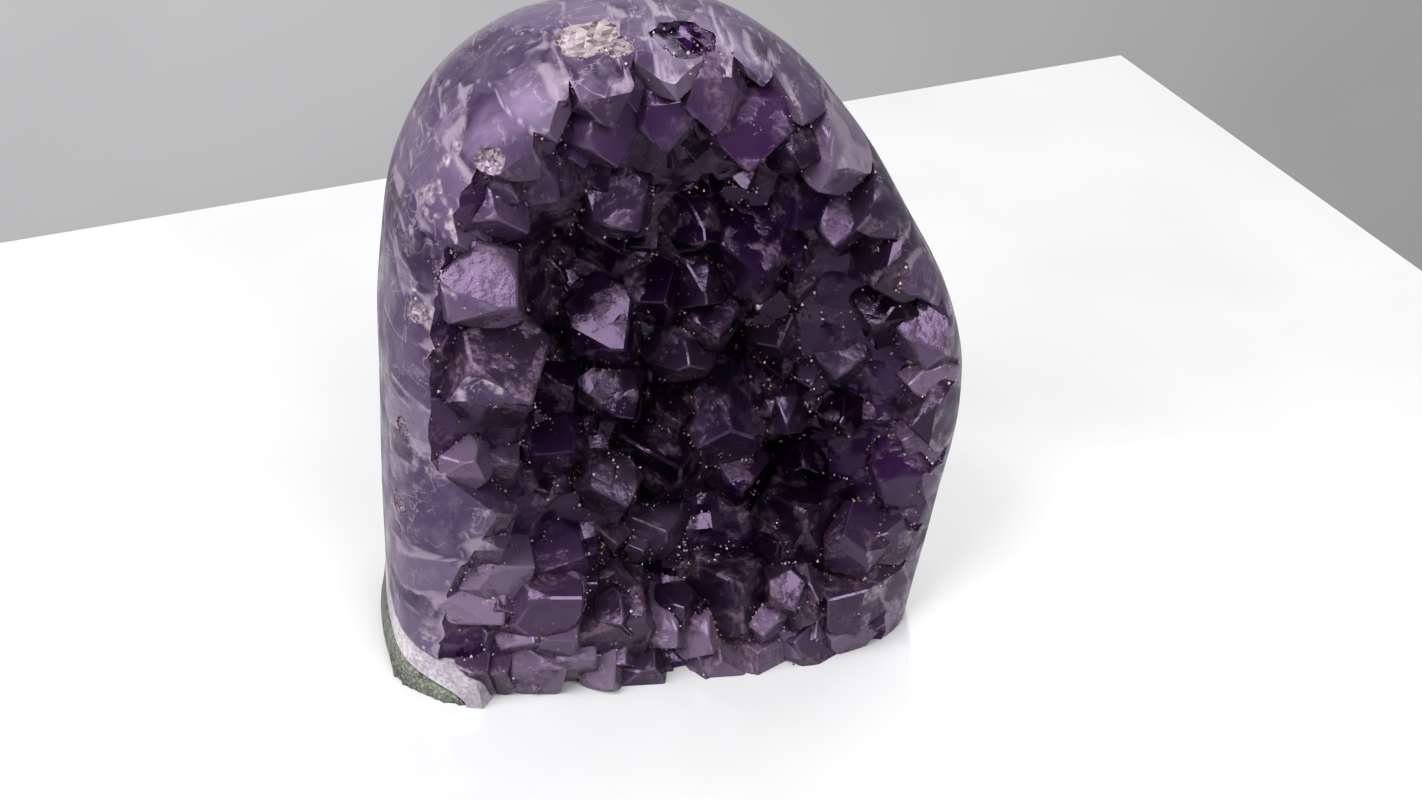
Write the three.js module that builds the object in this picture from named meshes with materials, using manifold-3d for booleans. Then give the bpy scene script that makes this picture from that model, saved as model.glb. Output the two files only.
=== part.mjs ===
// An upright amethyst cluster: a block cut from the wall of a geode, in millimetres.
//
// The block stands on a sawn base. Its sides and top are ground and polished to a rounded pebble,
// its back is the rough volcanic rock that the geode grew in, and its front is the open hollow,
// lined with amethyst points. From the back to the front it is three minerals, and each is one
// solid: the basalt rind, the pale agate band that lines it, and the amethyst, whose crystals all
// grew together from one root mass.
//
// Frame: +Z up, the crystals face -Y, +X is to the right of a viewer who faces them.
// The origin is on the base, under the middle of the block's box.

import * as THREE from "three";
import { ConvexGeometry } from "three/addons/geometries/ConvexGeometry.js";
import { mergeVertices } from "three/addons/utils/BufferGeometryUtils.js";
import Module from "manifold-3d";

const wasm = await Module();
wasm.setup();

// ---- Driving dimensions ----

// The polished block. OUTLINE is its fullest outline seen from the front, x and z of each point,
// and DEPTHS says how that outline shrinks towards MIDDLE, as y and share of its full size.
const MIDDLE = { x: 0, z: 50 };
const OUTLINE = [
  [-48.5, -40],
  [-48.5, 14],
  [-47, 45],
  [-45, 70],
  [-40, 89],
  [-29, 102],
  [-13, 107.5],
  [4, 107],
  [18, 99.5],
  [29, 87],
  [37, 73],
  [44.5, 57],
  [46.5, 44],
  [43, 20],
  [38, -8],
  [36, -40],
];
const OUTLINE_STEPS = 54;
const DEPTHS = [
  [-26.5, 0.5],
  [-24, 0.62],
  [-20.5, 0.78],
  [-16.5, 0.93],
  [-10, 0.99],
  [3, 1.0],
  [13, 0.97],
  [21, 0.9],
  [26.5, 0.77],
  [29.5, 0.58],
  [31, 0.32],
];
const POLISHED_TO = 13; // y behind which the outside is rough rock
const ROCK_BUMP = 2.2; // the rough back's unevenness and the length of its waves
const ROCK_WAVE = 31;

// The face of the basalt behind the crystals: its y in the middle, how it slopes back upwards and
// bows forward to the sides, and the knob of rock that comes forward low in the left corner.
const ROCK = { y: 16, slope: 0.12, bow: 4, bowTo: 48 };
const KNOB = { forward: 36, x: -49, wide: 24, tall: 7 };
const ROCK_FACE_WAVE = { height: 0.8, length: 23 };
const AGATE_THICKNESS = 3.2;
const SEAM = 0.3; // clear gap between two minerals
const LAYER_GRID = { width: 130, height: 122, back: 60, columns: 12, rows: 18 };

// The floor of the hollow: y at its deepest, how far it comes forward round its edge, and how far
// the edge is from MIDDLE each way.
const HOLLOW = { y: -6, rise: 14, left: 42, right: 52, top: 80, bottom: 50 };

// Quartz: the angle between its axis and the faces of its point.
const POINT_ANGLE = THREE.MathUtils.degToRad(38.2);
const PRISM_LENGTH = 3.4; // in half-widths; the lower part is buried in the root mass

// The large crystals, each grown to its own size: x and z of the tip, how far the tip stands out
// of the hollow's floor, half its width, its lean to the right and upwards away from square to the
// floor, and its turn in degrees about its own axis. At a turn of 0 a broad face looks up.
const CRYSTALS = [
  // The upper left.
  [-19, 95.5, 7.5, 5.7, 0.1, -0.1, 0],
  [-32, 98.5, 7.5, 5.1, 0.4, 0, 90],
  [-22, 90.5, 6.5, 5.7, 0.1, 0, 180],
  [-11, 97, 5.5, 5.1, 0, 0.1, 30],
  [-10.5, 90, 5, 5.7, 0.1, 0, 0],
  [-19, 85, 2.5, 6.8, 0, 0.2, 180],
  [-24, 81, 3, 5.7, 0.2, 0.1, 0],
  // The upper middle.
  [-3, 91, 4.5, 5.1, 0, -0.2, 0],
  [-2, 99.5, 5.5, 4.8, 0.1, 0.1, 90],
  [3.5, 94, 5.5, 5.1, 0, 0, 0],
  [8.5, 88, 7.5, 7.4, 0, 0.1, 0],
  [-7.5, 79, 6.5, 6.3, 0.1, 0.1, 30],
  [2.5, 76, 6.5, 5.1, 0, 0.1, 180],
  [-10, 73, 1.5, 6.3, 0, 0, 0],
  [10.5, 70.5, 9.5, 8, 0, 0.1, 0],
  [-3.5, 65.5, 6.5, 5.5, 0, 0.3, 30],
  [3, 63.5, 5.5, 5.7, 0.1, -0.1, 60],
  // The upper right.
  [18.5, 84, 7.5, 5.9, -0.1, 0.1, 30],
  [16.5, 76, 5, 6.3, 0, 0, 60],
  [22, 73, 5, 5.7, 0, 0.1, 0],
  [27.5, 67, 7.5, 7.4, -0.1, 0.1, 30],
  [28, 59, 6, 5.7, -0.1, 0.2, 0],
  [18, 62, 2, 5.7, 0, 0, 0],
  // The left side.
  [-40, 68, 7.5, 6.8, 0.9, 0, 60],
  [-38, 55, 6.5, 5.7, 0.8, 0.2, 0],
  [-29, 36, 9.5, 8.5, 1, 0, 0],
  [-41, 32, 4.5, 4.1, 0.3, 0, 30],
  [-41, 25, 6.5, 4.6, 0.5, 0, 0],
  [-35, 28, 8.5, 7.1, 0.25, 0.55, 150],
  // The middle.
  [-10, 59.5, 8, 7.1, 0.1, 0.1, 30],
  [-18, 52, 4.5, 5.5, 0.2, 0.2, 0],
  [-9, 46, 7.5, 6.4, 0.1, -0.2, 30],
  [-18.5, 42, 6.5, 5.2, 0, 0.2, 30],
  [-27, 41, 3, 5.7, 0.2, 0.1, 0],
  [5, 58.5, 7, 5.2, 0.1, 0.1, 0],
  [0, 54, 7.5, 5.5, 0, 0.2, 60],
  [-1.5, 43.5, 6.5, 4.1, 0, 0.1, 0],
  [6, 43, 9.5, 8.7, 0.1, 0.3, 180],
  [-2, 37, 10, 9.3, 0, 0.1, 0],
  [-10.5, 31, 7.5, 5.2, 0.1, -0.3, 0],
  [-22, 33, 0.5, 6.8, 0, 0, 0],
  [9, 30, 5.5, 5.7, 0.1, -0.2, 0],
  [15, 54, 3.5, 5.5, 0, 0.2, 30],
  [16, 47, 1.5, 5.7, 0, 0, 0],
  [16, 39, 5, 3.9, 0, -0.3, 180],
  [24, 41, 5, 3.9, 0, 0.1, 30],
  [18.5, 33, 4.5, 3.9, 0.1, 0.2, 60],
  // The right side.
  [34, 42, 7.5, 6.8, -0.3, 0, 30],
  [29.5, 32, 6.5, 6.3, -0.2, 0.1, 0],
  [24, 48, 3.5, 5.7, 0, 0, 0],
  // The lower part, where the points stand up from the foot.
  [18, 28, 9, 8.7, 0.1, 0.5, 0],
  [23.5, 24.5, 9.5, 5.9, 0, 0.5, 180],
  [28, 22, 8, 5.2, -0.1, 0.2, 0],
  [-26, 25, 5.5, 6.3, 0.3, 0.2, 0],
  [-18, 24, 6.5, 6.3, 0.1, 0.3, 30],
  [-19, 20, 9.5, 7.5, 0.3, 0.3, 0],
  [-9, 14, 9.5, 9.1, 0.2, 0.1, 30],
  [-4, 24, 5, 5.7, 0, 0.2, 0],
  [-2.5, 13, 6.5, 4.1, 0, 0.2, 0],
  [6.5, 17.5, 10, 8.4, 0, 0.4, 0],
  [14.5, 15, 9, 5.9, 0, 0.3, 30],
  [21.5, 12.5, 9.5, 6.2, -0.1, 0.2, 0],
  [26.5, 15.5, 9, 5.5, 0, 0.3, 60],
  [32, 13, 7.5, 5.2, -0.2, 0, 0],
  [-39, 15, 6.5, 4.8, 0.3, 0, 30],
  [-22, 6.5, 9, 6.8, 0.1, 0, 0],
  [-40, 6, 7.5, 5.2, 0.3, 0, 0],
  [-8, 4, 8.5, 5.9, 0, -0.1, 30],
  [3, 4, 9, 5.7, 0, 0, 60],
  [9, 4.5, 9, 5.7, 0, 0, 0],
  [15.5, 5, 8.5, 6.2, 0, 0, 30],
  [22, 4, 8.5, 5.2, 0, 0, 0],
  [27.5, 5.5, 8.5, 5.5, -0.1, 0, 60],
];

// The crystals of the rim lie along the polished skin and point to the middle, so the grinding has
// cut them lengthwise. Each has the x and z of its tip, the way it points in degrees from +X
// towards +Z, and its half-width.
const RIM = [
  // The left side, from the foot up.
  [-33, 7, 20, 5.5],
  [-29.5, 16, -12, 6.5],
  [-36, 23, 10, 4.5],
  [-28.5, 31, 4, 6.2],
  [-36, 39, -15, 5],
  [-33, 46.5, 35, 4.6],
  [-22.5, 57.5, -6, 8.6],
  [-35, 64, 5, 5],
  [-24.5, 72.5, -4, 7.2],
  [-36, 77, 0, 4.8],
  [-31, 85.5, 14, 5.6],
  [-36.5, 92, -10, 4.2],
  // Round the top.
  [-31, 94.5, -25, 4.6],
  [-27, 100.5, -35, 5.6],
  [-17, 103.5, -45, 6.8],
  [-8.5, 102.5, -70, 5],
  [-2.5, 104, -85, 5.6],
  [4, 103.5, -95, 4.8],
  [10.5, 100.5, -110, 6],
  [17, 95.5, -120, 6.4],
  // Down the right side.
  [23, 88, -140, 6],
  [28, 77.5, -155, 7.6],
  [33.5, 67, -165, 5.4],
  [35, 57, 175, 5.6],
  [37, 47, 175, 5],
  [36, 37, 165, 5.2],
  [33.5, 27, 155, 5],
  [33, 18, 140, 5.4],
  [30, 9, 125, 5],
  [34, 3, 110, 4.6],
];
const RIM_SINK = 0.9; // depth of a rim crystal's axis under the skin, in half-widths
const RIM_UNDER_SKIN = 0.5;
const RIM_DIP = 0.16; // how much its point dips into the hollow
const RIM_LIFT = { most: 0.9, from: 25, over: 45 }; // how far it turns outwards on the left side
const RIM_TURN = 60; // the most a rim crystal is turned about its axis, in degrees

// The edge of the hollow is at 1 on this scale from the middle. Outside PULL_FROM the crystals
// lean further towards the middle, and they end this far under the skin.
const EDGE = { x: 46, z: 57 };
const PULL = 2.4;
const PULL_FROM = 0.45;
const UNDER_SKIN = 2.2;
const STEEPEST = 0.35; // the least share of depth that counts forwards where the skin is steep
const RAY_START = -100; // y in front of the whole block

// The small crystals fill what the large ones leave, on an uneven triangular pattern. They stay
// off a large one by a share of its half-width and a gap. Their half-widths vary by a quarter.
const FILL = { spacing: 9.8, jitter: 2.2, radius: 4.2, stand: 3, lean: 0.25, share: 0.6, gap: 2 };
const FILL_VARIES = 0.25;
const FILL_TURN = 120; // the most a small crystal is turned about its axis, in degrees
const FILL_TO = 112; // z up to which they are tried
const FILL_COLUMNS = 6; // columns on each side of the middle

// The root mass: its size, the grid of its floor, and how far each point of the grid may stray.
const ROOT = { width: 130, height: 150, back: 60, columns: 15, rows: 18, bump: 4, stray: 2 };

// Unevenness of one crystal, in half-widths: its sides, and the faces of its point.
const SIDES = { least: 0.88, more: 0.24 };
const POINT_FACES = { broad: 0.03, small: 0.06, smallMore: 0.34 };
const DRAWS = 16; // random values kept for each crystal
const FILL_SEED = 1000; // where the small crystals' and the rim's random values start
const FILL_SEED_ROW = 40;
const RIM_SEED = 5000;

const COLOURS = { amethyst: 0x5b3a78, agate: 0xa9a0aa, basalt: 0x5d6058 };

// ---- Helpers ----

// The same uneven value from 0 to 1 every time for the same number.
function chance(n) {
  const value = Math.sin(n * 12.9898 + 78.233) * 43758.5453;
  return value - Math.floor(value);
}

// A closed three.js geometry as a manifold-3d solid.
function solidOf(geometry) {
  const bare = geometry.index ? geometry.toNonIndexed() : geometry.clone();
  bare.deleteAttribute("normal");
  bare.deleteAttribute("uv");
  const merged = mergeVertices(bare, 1e-3);
  const mesh = new wasm.Mesh({
    numProp: 3,
    vertProperties: merged.attributes.position.array,
    triVerts: new Uint32Array(merged.index.array),
  });
  return new wasm.Manifold(mesh);
}

// A manifold-3d solid as a three.js geometry.
function geometryOf(solid) {
  const mesh = solid.getMesh();
  const geometry = new THREE.BufferGeometry();
  geometry.setAttribute("position", new THREE.BufferAttribute(mesh.vertProperties, 3));
  geometry.setIndex(new THREE.BufferAttribute(mesh.triVerts, 1));
  geometry.computeVertexNormals();
  return geometry;
}

// The largest body of a solid, filled where crystals closed a pocket between them.
function filled(solid) {
  return solid.decompose().reduce((most, body) => (body.volume() > most.volume() ? body : most));
}

// Moves every point of a geometry by a function.
function reshape(geometry, move) {
  const positions = geometry.attributes.position;
  const point = new THREE.Vector3();
  for (let i = 0; i < positions.count; i++) {
    move(point.fromBufferAttribute(positions, i));
    positions.setXYZ(i, point.x, point.y, point.z);
  }
  return geometry;
}

// A closed skin through rings of points, all with the same number of points.
function loft(rings) {
  const count = rings[0].length;
  const positions = rings.flat().flatMap((p) => [p.x, p.y, p.z]);
  const front = rings.length * count;
  const back = front + 1;
  for (const ring of [rings[0], rings[rings.length - 1]]) {
    const centre = ring.reduce((sum, p) => sum.add(p), new THREE.Vector3()).divideScalar(count);
    positions.push(centre.x, centre.y, centre.z);
  }
  const triangles = [];
  const last = (rings.length - 1) * count;
  for (let i = 0; i < count; i++) {
    const j = (i + 1) % count;
    for (let a = 0; a < last; a += count) {
      const b = a + count;
      triangles.push(a + i, a + j, b + i, a + j, b + j, b + i);
    }
    triangles.push(front, j, i, back, last + i, last + j);
  }
  const geometry = new THREE.BufferGeometry();
  geometry.setAttribute("position", new THREE.Float32BufferAttribute(positions, 3));
  geometry.setIndex(triangles);
  return geometry;
}

// ---- The block and its layers ----

// Slow waves in three directions, from -1 to 1.
function waves(p, length) {
  const k = (2 * Math.PI) / length;
  return (
    (Math.sin(k * (p.x + 0.6 * p.z)) +
      Math.sin(k * (1.3 * p.z - 0.4 * p.x) + 2) +
      Math.sin(k * (0.9 * p.y + 0.7 * p.x - 0.5 * p.z) + 4)) /
    3
  );
}

// The whole block, cut flat at the base.
function block() {
  const points = OUTLINE.map(([x, z]) => new THREE.Vector3(x, 0, z));
  const curve = new THREE.CatmullRomCurve3(points, true, "centripetal");
  const outline = curve.getSpacedPoints(OUTLINE_STEPS).slice(0, OUTLINE_STEPS);
  const rings = DEPTHS.map(([y, share]) =>
    outline.map((p) => {
      const x = MIDDLE.x + (p.x - MIDDLE.x) * share;
      const z = MIDDLE.z + (p.z - MIDDLE.z) * share;
      return new THREE.Vector3(x, y, z);
    }),
  );
  const skin = reshape(loft(rings), (p) => {
    if (p.y > POLISHED_TO) p.y += ROCK_BUMP * waves(p, ROCK_WAVE);
  });
  return solidOf(skin).trimByPlane([0, 0, 1], 0);
}

// y of the basalt's face behind a point of the front.
function rockFace(x, z) {
  const knob = Math.exp(-((Math.max(z, 0) / KNOB.tall) ** 2) - ((x - KNOB.x) / KNOB.wide) ** 2);
  const bow = ROCK.bow * (x / ROCK.bowTo) ** 2;
  const wave = ROCK_FACE_WAVE.height * waves({ x, y: 0, z }, ROCK_FACE_WAVE.length);
  return ROCK.y + ROCK.slope * (z - MIDDLE.z) - bow - KNOB.forward * knob + wave;
}

// All that lies behind the basalt's face once the face has moved forward and up by a depth. Its
// rows are close together near the base, where the face is steep.
function behindFace(depth) {
  const { width, height, back, columns, rows } = LAYER_GRID;
  const slab = new THREE.BoxGeometry(width, 1, 1, columns, 1, rows);
  const layer = reshape(slab, (p) => {
    const z = height * (p.z + 0.5) ** 2 - 1;
    p.set(p.x, p.y < 0 ? rockFace(p.x, z - depth) - depth : back, z);
  });
  return solidOf(layer);
}

const whole = block();
const skin = new THREE.Mesh(geometryOf(whole));

// ---- The amethyst ----

// y of the hollow's floor under a point of the front.
function floorAt(x, z) {
  const across = (x - MIDDLE.x) / (x > MIDDLE.x ? HOLLOW.right : HOLLOW.left);
  const along = (z - MIDDLE.z) / (z > MIDDLE.z ? HOLLOW.top : HOLLOW.bottom);
  return HOLLOW.y - HOLLOW.rise * Math.min(across * across + along * along, 1);
}

// The direction out of the floor, towards the middle of the hollow.
function outOfFloor(x, z) {
  const step = 0.5;
  const slopeX = (floorAt(x + step, z) - floorAt(x - step, z)) / (2 * step);
  const slopeZ = (floorAt(x, z + step) - floorAt(x, z - step)) / (2 * step);
  return new THREE.Vector3(slopeX, -1, slopeZ).normalize();
}

// The mass that the crystals grow from. Its front is the floor, broken up like the small crystals
// that are too short to stand out of it.
function rootMass() {
  const { width, height, back, columns, rows, bump, stray } = ROOT;
  const slab = new THREE.BoxGeometry(width, back, height, columns, 1, rows);
  const mass = reshape(slab, (p) => {
    const seed = Math.round(p.x * 10) * 0.37 + Math.round(p.z * 10) * 1.91;
    const x = p.x + stray * (2 * chance(seed) - 1);
    const z = p.z + MIDDLE.z + stray * (2 * chance(seed + 1) - 1);
    p.set(x, p.y < 0 ? floorAt(x, z) + bump * (chance(seed + 2) - 0.25) : back, z);
  });
  return solidOf(mass);
}

// The corners of the solid that a list of planes bounds, each as normal . p <= reach.
function cornersOf(planes) {
  const corners = [];
  const inside = (p) => planes.every(({ normal, reach }) => normal.dot(p) <= reach + 1e-6);
  for (let a = 0; a < planes.length; a++)
    for (let b = a + 1; b < planes.length; b++)
      for (let c = b + 1; c < planes.length; c++) {
        const [u, v, w] = [planes[a], planes[b], planes[c]];
        const across = new THREE.Vector3().crossVectors(v.normal, w.normal);
        const scale = u.normal.dot(across);
        if (Math.abs(scale) < 1e-6) continue;
        const p = across.multiplyScalar(u.reach);
        p.addScaledVector(new THREE.Vector3().crossVectors(w.normal, u.normal), v.reach);
        p.addScaledVector(new THREE.Vector3().crossVectors(u.normal, v.normal), w.reach);
        p.divideScalar(scale);
        if (inside(p)) corners.push(p);
      }
  return corners;
}

// One quartz crystal with its tip at the origin, pointing along +Z, with +Y as its top side. Its
// six sides stand at slightly uneven distances, and three of the six faces of its point are broad.
function crystal(radius, number) {
  const planes = [{ normal: new THREE.Vector3(0, 0, -1), reach: radius * PRISM_LENGTH }];
  for (let side = 0; side < 6; side++) {
    const angle = (side * Math.PI) / 3;
    const uneven = chance(number * DRAWS + side);
    const out = new THREE.Vector3(Math.sin(angle), Math.cos(angle), 0);
    planes.push({ normal: out, reach: radius * (SIDES.least + SIDES.more * uneven) });
    const face = out.clone().multiplyScalar(Math.cos(POINT_ANGLE));
    face.z = Math.sin(POINT_ANGLE);
    const { broad, small, smallMore } = POINT_FACES;
    const share = side % 2 ? small + smallMore * chance(number * DRAWS + 6 + side) : broad * uneven;
    planes.push({ normal: face, reach: radius * share });
  }
  return new ConvexGeometry(cornersOf(planes));
}

// A crystal with its tip and axis in place, turned about that axis.
function grow({ tip, axis, radius, turn }, number) {
  const right = new THREE.Vector3().crossVectors(axis, new THREE.Vector3(0, 0, 1)).normalize();
  const up = new THREE.Vector3().crossVectors(right, axis);
  const place = new THREE.Matrix4().makeBasis(right.negate(), up, axis).setPosition(tip);
  const spin = new THREE.Matrix4().makeRotationZ(THREE.MathUtils.degToRad(turn));
  return solidOf(crystal(radius, number).applyMatrix4(spin).applyMatrix4(place));
}

// The polished skin in front of a point of the hollow, seen straight from the front.
function skinAt(x, z) {
  const start = new THREE.Vector3(x, RAY_START, z);
  const ray = new THREE.Raycaster(start, new THREE.Vector3(0, 1, 0));
  const [hit] = ray.intersectObject(skin);
  return hit && { point: hit.point, normal: hit.face.normal };
}

// A crystal that grows out of the floor.
function keepUnderSkin(tip, depth) {
  const over = skinAt(tip.x, tip.z);
  if (!over) return;
  const forwards = depth / Math.max(-over.normal.y, STEEPEST);
  tip.y = Math.max(tip.y, over.point.y + forwards);
}

function fromFloor([x, z, stand, radius, leanRight, leanUp, turn]) {
  const edge = Math.hypot((x - MIDDLE.x) / EDGE.x, (z - MIDDLE.z) / EDGE.z);
  const pull = PULL * Math.max(edge - PULL_FROM, 0);
  const axis = outOfFloor(x, z);
  axis.x += leanRight - (pull * (x - MIDDLE.x)) / EDGE.x;
  axis.z += leanUp - (pull * Math.max(z - MIDDLE.z, 0)) / EDGE.z;
  const tip = new THREE.Vector3(x, floorAt(x, z) - stand, z);
  keepUnderSkin(tip, UNDER_SKIN);
  return { tip, axis: axis.normalize(), radius, turn };
}

// A crystal of the rim: it lies along the skin from its shoulder, where its point begins.
function ofRim([x, z, way, radius], number) {
  const angle = THREE.MathUtils.degToRad(way);
  const towards = new THREE.Vector3(Math.cos(angle), 0, Math.sin(angle));
  const point = radius / Math.tan(POINT_ANGLE);
  const outer = skinAt(x - towards.x * point, z - towards.z * point);
  const inner = skinAt(x, z);
  if (!outer && !inner) return [];
  const { normal } = outer || inner;
  const shoulder = outer ? outer.point : inner.point.clone().addScaledVector(towards, -point);
  const leftness = THREE.MathUtils.clamp((RIM_LIFT.from - x) / RIM_LIFT.over, 0, 1);
  const lift = RIM_LIFT.most * leftness - RIM_DIP;
  const axis = towards.clone().addScaledVector(normal, lift - towards.dot(normal)).normalize();
  const tip = shoulder.addScaledVector(normal, -radius * RIM_SINK).addScaledVector(axis, point);
  keepUnderSkin(tip, RIM_UNDER_SKIN);
  return [{ tip, axis, radius, turn: RIM_TURN * chance(RIM_SEED + number) }];
}

// True where a large crystal already stands.
function taken(x, z) {
  return [...CRYSTALS, ...RIM].some(
    ([cx, cz, , radius]) => Math.hypot(cx - x, cz - z) < radius * FILL.share + FILL.gap,
  );
}

// The small crystals, in the same form as the large ones.
function fillers() {
  const crystals = [];
  const rise = (FILL.spacing * Math.sqrt(3)) / 2;
  for (let row = 0; row * rise < FILL_TO; row++)
    for (let column = -FILL_COLUMNS; column <= FILL_COLUMNS; column++) {
      const seed = FILL_SEED + row * FILL_SEED_ROW + column;
      const either = (n) => 2 * chance(seed + n) - 1;
      const x = (column + (row % 2) / 2) * FILL.spacing + FILL.jitter * either(0);
      const z = row * rise + FILL.jitter * either(0.3);
      if (taken(x, z)) continue;
      const stand = FILL.stand + either(0.7);
      const radius = FILL.radius * (1 + FILL_VARIES * either(0.5));
      const turn = FILL_TURN * chance(seed + 0.9);
      crystals.push([x, z, stand, radius, FILL.lean * either(0.1), FILL.lean * either(0.2), turn]);
    }
  return crystals;
}

// ---- The three solids ----

const rind = whole.intersect(behindFace(0));
const agate = whole.intersect(behindFace(SEAM + AGATE_THICKNESS)).subtract(behindFace(SEAM));
const crystals = [...RIM.flatMap(ofRim), ...[...CRYSTALS, ...fillers()].map(fromFloor)];
const grown = wasm.Manifold.union([rootMass(), ...crystals.map(grow)]);
const amethyst = filled(grown.intersect(whole).subtract(behindFace(2 * SEAM + AGATE_THICKNESS)));

const cluster = new THREE.Group();

function addPiece(name, solid, color, roughness) {
  const material = new THREE.MeshStandardMaterial({ color, roughness, metalness: 0 });
  const mesh = new THREE.Mesh(geometryOf(solid), material);
  mesh.name = name;
  cluster.add(mesh);
}

addPiece("basalt_rind", rind, COLOURS.basalt, 0.9);
addPiece("agate_band", agate, COLOURS.agate, 0.35);
addPiece("amethyst_crystals", amethyst, COLOURS.amethyst, 0.15);

// The middle of the footprint of all three stands over the origin.
const middle = new THREE.Box3().setFromObject(cluster).getCenter(new THREE.Vector3());
cluster.position.set(-middle.x, -middle.y, 0);

export default cluster;
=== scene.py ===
# %% [markdown]
# # An amethyst cluster
#
# The real thing is a block that was cut from the wall of a geode, a gas bubble in basalt that
# hot water lined with quartz. The sides and the top are ground and polished to a pebble, the base
# is sawn flat so that it stands, and the front is the open hollow with its amethyst points.
#
# The lesson builds it as it grew, from the back to the front: the rock, the band of agate on it,
# and the crystals that stand on that. It ends with the three surface finishes and the light.

# %% Load the frame
import math
import random
import bpy
import bmesh
import numpy as np
from mathutils import Matrix, Vector, noise


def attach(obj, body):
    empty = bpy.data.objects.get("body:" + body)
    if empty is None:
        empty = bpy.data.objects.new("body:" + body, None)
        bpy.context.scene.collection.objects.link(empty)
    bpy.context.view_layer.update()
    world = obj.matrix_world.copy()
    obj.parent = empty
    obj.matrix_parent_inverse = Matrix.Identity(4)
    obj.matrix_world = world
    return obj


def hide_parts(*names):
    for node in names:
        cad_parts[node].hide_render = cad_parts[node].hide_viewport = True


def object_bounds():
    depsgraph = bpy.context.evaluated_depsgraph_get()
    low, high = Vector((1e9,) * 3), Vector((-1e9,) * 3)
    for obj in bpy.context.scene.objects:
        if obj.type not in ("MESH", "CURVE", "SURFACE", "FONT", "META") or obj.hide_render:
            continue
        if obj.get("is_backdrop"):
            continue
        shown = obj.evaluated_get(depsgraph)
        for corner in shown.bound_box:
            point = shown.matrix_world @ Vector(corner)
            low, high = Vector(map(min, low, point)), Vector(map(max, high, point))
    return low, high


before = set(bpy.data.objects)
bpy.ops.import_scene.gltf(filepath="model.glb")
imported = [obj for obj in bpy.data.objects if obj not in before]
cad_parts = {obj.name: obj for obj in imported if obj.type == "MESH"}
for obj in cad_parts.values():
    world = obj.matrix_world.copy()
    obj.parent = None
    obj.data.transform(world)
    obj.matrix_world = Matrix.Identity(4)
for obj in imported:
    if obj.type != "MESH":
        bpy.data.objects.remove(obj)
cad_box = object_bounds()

MM = 0.001
cad_size = [round((high - low) / MM, 1) for low, high in zip(*cad_box)]
print("the CAD block is", cad_size, "mm")

# %% [markdown]
# ## The camera
#
# A long lens looks from a little above and to the left: the hollow is seen nearly face on, and
# the top and the left side show how thick the block is. The camera is placed from the point that
# it looks at, so the block can be measured first and the view follows.

# %% The camera
AZIMUTH = math.radians(-12)
ELEVATION = math.radians(32)
DISTANCE = 352 * MM
LENS = 55.7
AIM = Vector((6.24, 0, -8.8)) * MM  # how far right of and below the middle the camera stands


def place_camera(middle):
    back = Vector((
        math.sin(AZIMUTH) * math.cos(ELEVATION),
        -math.cos(AZIMUTH) * math.cos(ELEVATION),
        math.sin(ELEVATION),
    ))
    turn = back.to_track_quat("Z", "Y")
    bpy.ops.object.camera_add()
    camera = bpy.context.object
    camera.data.lens = LENS
    camera.data.clip_start = 0.01
    camera.rotation_euler = turn.to_euler()
    camera.location = middle + back * DISTANCE + turn @ Vector((AIM.x, AIM.z, 0))
    bpy.context.scene.camera = camera
    return camera

# %% [markdown]
# ## Small helpers
#
# Each operator acts on all that is selected, so every step starts by selecting one piece alone.
# The three minerals and the crystals are joined and cut with the Boolean modifier, whose manifold
# solver is quick and keeps closed shapes closed.

# %% Selecting, finishing and joining
def pick(piece):
    bpy.ops.object.select_all(action="DESELECT")
    piece.select_set(True)
    bpy.context.view_layer.objects.active = piece


def enter(piece, kind="FACE"):
    pick(piece)
    bpy.ops.object.mode_set(mode="EDIT")
    bpy.ops.mesh.select_mode(type=kind)
    bpy.ops.mesh.select_all(action="SELECT")


def leave():
    bpy.ops.object.mode_set(mode="OBJECT")


def apply_modifier(piece, kind, **settings):
    modifier = piece.modifiers.new(kind.title(), kind)
    for key, value in settings.items():
        setattr(modifier, key, value)
    pick(piece)
    bpy.ops.object.modifier_apply(modifier=modifier.name)


def combine(piece, other, operation):
    apply_modifier(piece, "BOOLEAN", operation=operation, object=other, solver="MANIFOLD")


def copy_of(piece, name):
    twin = bpy.data.objects.new(name, piece.data.copy())
    bpy.context.collection.objects.link(twin)
    return twin


def tell(piece):
    print(piece.name, "has", len(piece.data.polygons), "faces")


# %% [markdown]
# ## The polished block
#
# The ground outside is a pebble: one outline seen from the front, fullest in the middle of the
# block and smaller towards the front and back. The outline is drawn as a closed curve through a
# few points, turned into a ring of edges, and extruded ring by ring, each ring resized about the
# same middle. A saw cut, a bisect with a filled face, then gives the flat base.

# %% The outline and the depths
MIDDLE = Vector((0, 0, 50)) * MM
OUTLINE = [
    (-48.5, -40), (-48.5, 14), (-47, 45), (-45, 70), (-40, 89), (-29, 102), (-13, 107.5), (4, 107),
    (18, 99.5), (29, 87), (37, 73), (44.5, 57), (46.5, 44), (43, 20), (38, -8), (36, -40),
]
DEPTHS = [
    (-26.5, 0.5), (-24, 0.62), (-20.5, 0.78), (-16.5, 0.93), (-10, 0.99), (3, 1.0), (13, 0.97),
    (21, 0.9), (26.5, 0.77), (29.5, 0.58), (31, 0.32),
]

POLISHED_TO = 13  # y behind which the outside is rough rock
ROCK_BUMP = 2.2  # the rough back's unevenness and the length of its waves
ROCK_WAVE = 31


def slow_waves(x, y, z, length):
    k = 2 * math.pi / length
    first = math.sin(k * (x + 0.6 * z))
    second = math.sin(k * (1.3 * z - 0.4 * x) + 2)
    third = math.sin(k * (0.9 * y + 0.7 * x - 0.5 * z) + 4)
    return (first + second + third) / 3


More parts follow.
